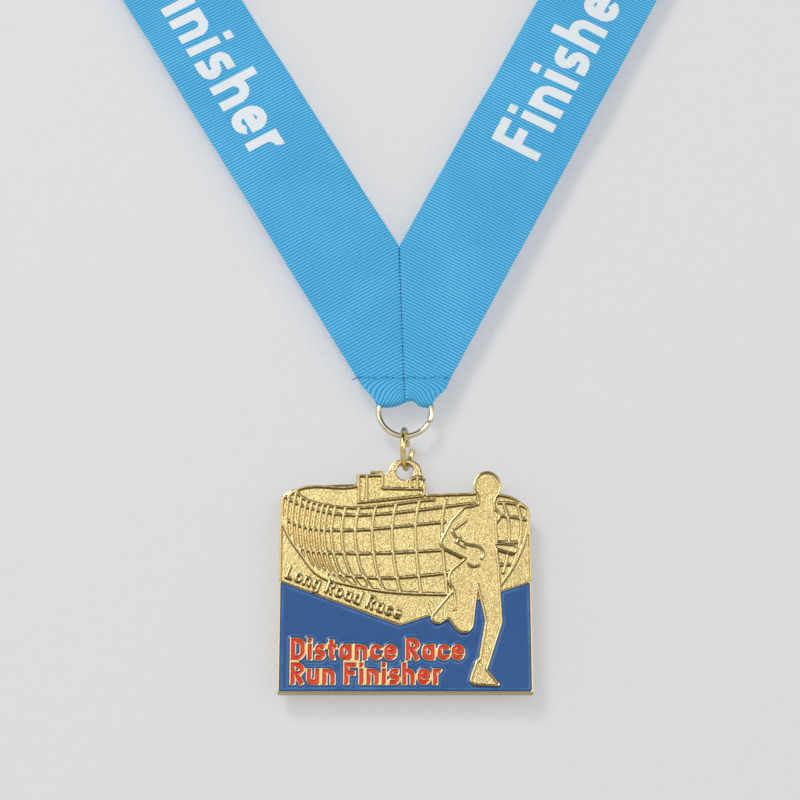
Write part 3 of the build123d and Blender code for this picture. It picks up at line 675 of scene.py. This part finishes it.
def strip_to_flat(s, v):
    """Strap coordinates to flat ones. s runs from the apex up the strap, v from the inner edge
    outwards, and x is counted towards that strap's own side."""
    return s * LEAN_X + v * LEAN_Z, APEX_Z + s * LEAN_Z - v * LEAN_X


def flat_to_strip(x, z):
    """The other way round."""
    return x * LEAN_X + (z - APEX_Z) * LEAN_Z, x * LEAN_Z - (z - APEX_Z) * LEAN_X


def strap_point(s, v, side):
    """A point of the ribbon's middle surface, with s going on round the neck. side is 1 for the right
    strap and -1 for the left."""
    x, z = strip_to_flat(s, v)
    fx, fy, fz = flat_to_front(x * side, z)
    fx = fx * side
    up = s - REACH
    turn = np.clip(up / (NECK_RADIUS / math.sin(COIL_ANGLE)), 0, math.pi)
    half = (math.pi / 2 - STRAP_LEAN) / 2
    axis = np.array([-math.sin(half), 0, math.cos(half)])
    outward = np.array([math.cos(half), 0, math.sin(half)])
    back = np.array([0, 1.0, 0])
    start = (np.array([0, CHAIN_Y - LAYER_GAP, APEX_Z]) + np.array([LEAN_X, 0, LEAN_Z]) * REACH
             + np.array([LEAN_Z, 0, -LEAN_X]) * RIBBON_WIDTH / 2)
    rise = NECK_RADIUS * turn / math.tan(COIL_ANGLE)
    t = turn[..., None]
    centre = (start + outward * (NECK_RADIUS * np.sin(t)) + axis * rise[..., None]
              + back * (NECK_RADIUS * (1 - np.cos(t))))
    normal = outward * np.sin(t) - back * np.cos(t)
    tangent = (outward * np.cos(t) + back * np.sin(t)) * math.sin(COIL_ANGLE) + axis * math.cos(COIL_ANGLE)
    past = np.maximum(up - WRAP_LENGTH, 0)[..., None]
    edge_way = -np.cross(normal, tangent)
    wrapped = centre + edge_way * (v[..., None] - RIBBON_WIDTH / 2) + tangent * past
    out = np.where((up > 0)[..., None], wrapped, np.stack([fx, fy, fz], -1))
    out[..., 1] += waves(s, v, side)
    out[..., 0] *= side
    out[..., 0] += HANG_SLOPE * (np.clip(out[..., 2], HANG_FOOT, HANG_HEAD) - HANG_FOOT)
    return out


def waves(s, v, side):
    """The slight waviness of a used ribbon, none at the seam."""
    amount = ease(s, WAVE_START, WAVE_FULL) * ease(s, LOOP_END, LOOP_END - WAVE_FADE)
    return amount * sum(height * np.sin(s / along + v / across + phase * side)
                        for height, along, across, phase in WAVES)


def surface(s, v, side, offset):
    """A point off the middle surface: offset is towards the front of the strap."""
    step = 0.05
    ahead = strap_point(s + step, v, side) - strap_point(s - step, v, side)
    over = strap_point(s, v + step, side) - strap_point(s, v - step, side)
    normal = -np.cross(ahead, over) * side
    normal /= np.linalg.norm(normal, axis=-1)[..., None]
    return strap_point(s, v, side) + normal * offset[..., None]


def rib_wave(s):
    """The ribs' height along the strip."""
    return RIB_HEIGHT * np.cos(2 * math.pi * s / RIB_PITCH)


def total_reach():
    """The strip's coordinate s at the middle of the back band."""
    end = strap_point(np.array([REACH + WRAP_LENGTH]), np.array([RIBBON_WIDTH / 2]), 1)
    return REACH + WRAP_LENGTH + end[0, 0] - HANG_SLOPE * (HANG_HEAD - HANG_FOOT)


def half_ribbon(side):
    """One half of the strip, from its mitred tip up to the back band: points of the front and
    the rear, and each point's s and v."""
    last = total_reach()
    s = np.linspace(TIP_REACH + TIP_INSET, last, int((last - TIP_REACH) / RIB_PITCH * PER_RIB))
    inner = np.maximum(-s * math.tan(STRAP_LEAN), 0) + MITRE_INSET
    scallop = SCALLOP * np.cos(2 * math.pi * s / RIB_PITCH)
    outer = RIBBON_WIDTH + scallop
    start = inner - np.where(inner > MITRE_INSET + 0.001, 0, scallop + MITRE_INSET)
    spread = (1 - np.cos(np.linspace(0, math.pi, ACROSS_COUNT))) / 2
    v = start[:, None] + (outer - start)[:, None] * spread[None, :]
    s = np.repeat(s[:, None], ACROSS_COUNT, 1)
    hem = 1 - HEM_THIN * np.exp(-np.minimum(v - start[:, None], outer[:, None] - v) / HEM_WIDTH)
    depth = (HALF_THICKNESS + rib_wave(s)) * hem
    return surface(s, v, side, depth), surface(s, v, side, -depth), s, v


def ribbon():
    """The whole ribbon as one closed strip, from one end of the mitre round the neck to the other."""
    front, rear, along, across = (np.concatenate([left, right[::-1][1:]])
                                  for left, right in zip(half_ribbon(-1), half_ribbon(1)))
    rows, count = along.shape
    ids = np.arange(rows * count).reshape(rows, count)
    rear_ids = ids + rows * count
    quads = [np.stack([ids[:-1, :-1], ids[:-1, 1:], ids[1:, 1:], ids[1:, :-1]], -1).reshape(-1, 4),
             np.stack([rear_ids[:-1, :-1], rear_ids[1:, :-1], rear_ids[1:, 1:], rear_ids[:-1, 1:]], -1)
             .reshape(-1, 4)]
    for a, b in ((ids[:, 0], rear_ids[:, 0]), (rear_ids[:, -1], ids[:, -1]),
                 (rear_ids[0], ids[0]), (ids[-1], rear_ids[-1])):
        quads.append(np.stack([a[:-1], a[1:], b[1:], b[:-1]], -1))
    obj = make_quads("neck_ribbon_weave", np.concatenate([front.reshape(-1, 3), rear.reshape(-1, 3)]),
                     np.concatenate(quads)[:, ::-1])
    mitre = np.abs(along * LEAN_X + across * LEAN_Z) + np.where(along > 0, NO_MITRE, 0.0)
    for name, values in (("along_mm", along), ("across_mm", across), ("mitre_mm", mitre)):
        add_values(obj.data, name, np.tile(values.ravel(), 2))
    paint(obj, ribbon_weave())
    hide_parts("neck_ribbon", "ribbon_tip")
    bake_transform(obj)


PRINT_STEP = RIB_PITCH / 4
INK_TOP, INK_FOLLOW, INK_SINK = 0.035, 0.8, 0.03     # its top follows the ribs by this share


def ribbon_print():
    """The white print as a thin skin of ink that follows the ribs."""
    corners = node_mesh("ribbon_print")[0]
    tree = node_tree("ribbon_print")
    points, quads, along, base = [], [], [], 0
    for side in (-1, 1):
        mine = corners[corners[:, 0] * side > 0]
        s, v = (np.arange(values.min() - PRINT_STEP, values.max() + PRINT_STEP, PRINT_STEP)
                for values in flat_to_strip(mine[:, 0] * side, mine[:, 2]))
        inside = np.zeros((len(s), len(v)), bool)
        for i, si in enumerate(s):
            for j, vj in enumerate(v):
                x, z = strip_to_flat(si, vj)
                inside[i, j] = front_hit(tree, x * side, z) is not None
        sheet, rows, columns = cell_quads(inside)
        su = s[0] + (rows - 0.5) * PRINT_STEP
        vu = v[0] + (columns - 0.5) * PRINT_STEP
        rib = rib_wave(su)
        points += [surface(su, vu, side, HALF_THICKNESS + rib * INK_FOLLOW + INK_TOP),
                   surface(su, vu, side, HALF_THICKNESS + rib - INK_SINK)]
        quads.append(slab_quads(sheet, len(su))[:, ::side] + base)
        along.append(np.tile(su, 2))
        base += 2 * len(su)
    obj = make_quads("ribbon_print_ink", np.concatenate(points), np.concatenate(quads))
    add_values(obj.data, "along_mm", np.concatenate(along))
    place(obj, print_ink(), "ribbon", "ribbon_print")


# ---- stitching ------------------------------------------------------------------------------
STITCHES = 14                     # in each row
ROW_Z = SEAM_Z + 0.45
ROW_LEFT, ROW_RIGHT, ROW_END = -10.3, 10.2, 9.6
ROW_THREAD, FINE_THREAD = 0.18, 0.14
THREAD_LIFT = 0.30                # over the front
THREAD_BEHIND = 0.75              # from the front strap's middle to the thread behind both layers


def front_point(x, z, lift):
    """A point this far in front of the straps' middle surface, at flat coordinates."""
    s, v = flat_to_strip(abs(x), z)
    return surface(np.array([s]), np.array([v]), 1 if x >= 0 else -1, np.array([lift]))[0]


def thread(where, radius, taper=0.3):
    """A short thread along where(t), for t from 0 to 1."""
    return tube([where(t) for t in np.linspace(0, 1, 9)], radius, 8, taper)


def stitching():
    """Thread: the wavering row across the seam with loose ends, and the row up the mitre behind."""
    parts = []
    pitch = (ROW_RIGHT - ROW_LEFT) / STITCHES
    wobble = [0.30 * math.sin(1.7 * i) + 0.20 * math.sin(3.1 * i + 1) for i in range(STITCHES + 1)]
    for i in range(STITCHES):
        a, b = ROW_LEFT + pitch * (i + 0.08), ROW_LEFT + pitch * (i + 0.92)
        za, zb = ROW_Z + wobble[i], ROW_Z + wobble[i + 1]
        for lift in (lambda t: THREAD_LIFT * math.sin(math.pi * t) ** 0.5, lambda t: -THREAD_BEHIND):
            parts.append(thread(lambda t: front_point(a + (b - a) * t, za + (zb - za) * t, lift(t)),
                                ROW_THREAD))
    for side, reach in ((-1, 2.3), (1, 0.9)):
        base = front_point(side * ROW_END, ROW_Z, THREAD_LIFT)
        parts.append(thread(lambda t: base + np.array([side * reach * t, -0.2 * math.sin(3 * t),
                                                       0.25 * math.sin(5 * t) - 0.35 * t]),
                            FINE_THREAD, 0.5))
    row = make_object("cross_stitching_thread", *join_parts(parts))
    low, high = box_mm("mitre_stitching")
    parts = []
    for i in range(STITCHES):
        za, zb = (low[2] + (high[2] - low[2]) * (i + share) / STITCHES for share in (0.1, 0.9))
        parts.append(thread(lambda t: front_point(0.12 * math.sin(4 * t + i), za + (zb - za) * t,
                                                  -HALF_THICKNESS)
                            + np.array([0, 0.18 * math.sin(math.pi * t) - 0.05, 0]), FINE_THREAD))
    seam = make_object("mitre_stitching_thread", *join_parts(parts))
    material = thread_material()
    place(row, material, "ribbon", "cross_stitching")
    place(seam, material, "ribbon", "mitre_stitching")


# ---- camera, light and surroundings ---------------------------------------------------------
LENS_MM, SENSOR_MM = 103.16, 36.0
CAMERA_TARGET = Vector((-1.15, -1.5, 43.8)) * MM
CAMERA_ELEVATION = math.radians(-19.23)
CAMERA_DISTANCE = 518.2 * MM
CAMERA_PLACE = CAMERA_TARGET + CAMERA_DISTANCE * Vector((0, -math.cos(CAMERA_ELEVATION),
                                                         math.sin(CAMERA_ELEVATION)))
LIGHT_TARGET_M = Vector((0, 0, 0.05))
# Studio brightness against height, as (sine of the elevation, level), in front and behind.
FRONT_LEVELS = ((-0.92, 0.15), (-0.62, 0.95), (0.18, 1.05), (0.36, 0.50), (0.50, 0.05), (0.9, 0.04))
REAR_LEVELS = ((-0.6, 0.30), (0.1, 0.45), (0.7, 0.60))
REAR_SHARE = ((-0.35, 0.0), (0.05, 1.0))   # how much of the rear's, against the direction's y
STUDIO_LIGHT = 1.24
CARD_Y, CARD_SIDE, CARD_FOOT, CARD_HEAD = 3.8, 150, -110, 168
CARD_GLOW, FLOOR_GLOW = 0.34, 0.52
SAME_PLACE_M, SAME_POSE_M = 0.005, 0.0005  # how far counts as moved, for the camera and the medal
FLOOR_SIDE, FLOOR_Z = 30000, -210


def aim(obj, position, target):
    """Puts a camera or lamp in its place and turns it to the target, in metres."""
    obj.location = position
    obj.rotation_euler = (target - Vector(position)).to_track_quat("-Z", "Y").to_euler()


def camera():
    data = bpy.data.cameras.new("camera")
    data.lens = LENS_MM
    data.sensor_width = SENSOR_MM
    data.clip_start = 0.01
    obj = linked("camera", data)
    aim(obj, CAMERA_PLACE, CAMERA_TARGET)
    bpy.context.scene.camera = obj


def area_light(name, position, size, power):
    data = bpy.data.lights.new(name, "AREA")
    data.shape = "DISK"
    data.size = size
    data.energy = power
    aim(linked(name, data), position, LIGHT_TARGET_M)


def card_material():
    """Pale card behind the medal, shown only to the scene's own camera while the medal hangs at rest."""
    m = Nodes("backdrop_card")
    colour = m.mix(m.spread(m.noise(900.0, 4.0), 0.3, 0.7), rgb(0.455, 0.45, 0.44), rgb(0.475, 0.47, 0.46))
    card = m.add("ShaderNodeBsdfPrincipled", {"Base Color": colour, "Roughness": 0.9,
                                              "Emission Color": rgb(0.97, 0.97, 1),
                                              "Emission Strength": CARD_GLOW})
    viewer = m.add("ShaderNodeVectorTransform", {"Vector": (0, 0, 0)}, vector_type="POINT",
                   convert_from="CAMERA", convert_to="WORLD").outputs[0]
    here = m.add("ShaderNodeNewGeometry").outputs["Position"]
    on_medal = m.add("ShaderNodeTexCoord", object=frame["bodies"]["medal"]).outputs["Object"]

    def apart(a, b, limit):
        """1 where two points are further apart than the limit."""
        distance = m.add("ShaderNodeVectorMath", {0: a, 1: b}, operation="DISTANCE").outputs["Value"]
        return m.math("GREATER_THAN", distance, limit)

    hidden = m.math("MAXIMUM", apart(viewer, tuple(CAMERA_PLACE), SAME_PLACE_M),
                    apart(on_medal, here, SAME_POSE_M))
    clear = m.add("ShaderNodeBsdfTransparent")
    return m.show(m.add("ShaderNodeMixShader", {0: hidden, 1: card.outputs[0], 2: clear.outputs[0]}))


def floor_material():
    """Pale grey floor. The camera sees it almost evenly lit, while the medal sees it as a lit surface."""
    m = Nodes("floor")
    colour = m.mix(m.spread(m.noise(40.0, 4.0), 0.3, 0.7), rgb(0.66, 0.66, 0.66), rgb(0.70, 0.70, 0.70))
    seen = m.add("ShaderNodeLightPath").outputs["Is Camera Ray"]
    return m.finish(Base_Color=m.mix(seen, colour, rgb(0.16, 0.16, 0.16)), Roughness=0.85,
                    Emission_Color=rgb(1, 1, 1), Emission_Strength=m.times(seen, FLOOR_GLOW))


def studio_world():
    """Soft light all round, and an even grey where the camera sees past the floor."""
    w = Nodes("studio", "World")
    way = w.add("ShaderNodeSeparateXYZ", {0: w.direction}).outputs

    def levels(share, stops):
        """Grey levels that follow one direction's share, given as (share, level) stops."""
        ramp = w.add("ShaderNodeValToRGB", {0: w.spread(share, -1.0, 1.0)})
        elements = ramp.color_ramp.elements
        elements.remove(elements[-1])
        for i, (at, level) in enumerate(stops):
            stop = elements[0] if i == 0 else elements.new((at + 1) / 2)
            stop.position = (at + 1) / 2
            stop.color = rgb(level, level, level)
        return ramp.outputs[0]

    colour = w.mix(levels(way["Y"], REAR_SHARE), levels(way["Z"], FRONT_LEVELS),
                   levels(way["Z"], REAR_LEVELS))
    studio = w.add("ShaderNodeBackground", {"Color": colour, "Strength": STUDIO_LIGHT})
    plain = w.add("ShaderNodeBackground", {"Color": rgb(0.66, 0.66, 0.665)})
    seen = w.add("ShaderNodeLightPath").outputs["Is Camera Ray"]
    return w.show(w.add("ShaderNodeMixShader", {0: seen, 1: studio.outputs[0], 2: plain.outputs[0]}))


def stage_sheet(name, corners, material):
    """A flat piece of the stage, which isn't part of the object."""
    sheet = make_object(name, corners, [(0, 1, 2, 3)], smooth=False)
    paint(sheet, material)


def surroundings():
    """The card, the floor, the world and the lamps."""
    stage_sheet("backdrop_card", [(-CARD_SIDE, CARD_Y, CARD_FOOT), (CARD_SIDE, CARD_Y, CARD_FOOT),
                                  (CARD_SIDE, CARD_Y, CARD_HEAD), (-CARD_SIDE, CARD_Y, CARD_HEAD)],
                card_material())
    stage_sheet("floor", [(-FLOOR_SIDE, -FLOOR_SIDE, FLOOR_Z), (FLOOR_SIDE, -FLOOR_SIDE, FLOOR_Z),
                          (FLOOR_SIDE, FLOOR_SIDE, FLOOR_Z), (-FLOOR_SIDE, FLOOR_SIDE, FLOOR_Z)],
                floor_material())
    bpy.context.scene.world = studio_world()
    area_light("key", (-0.42, -0.95, 0.62), 0.45, 4.6)
    area_light("fill", (0.7, -1.1, -0.1), 0.8, 1.2)
    area_light("back_fill", (0.1, 1.0, 0.7), 0.8, 2.6)


bpy.context.scene.view_settings.view_transform = "Standard"
medal_pieces()
rings()
ribbon()
ribbon_print()
stitching()
camera()
surroundings()
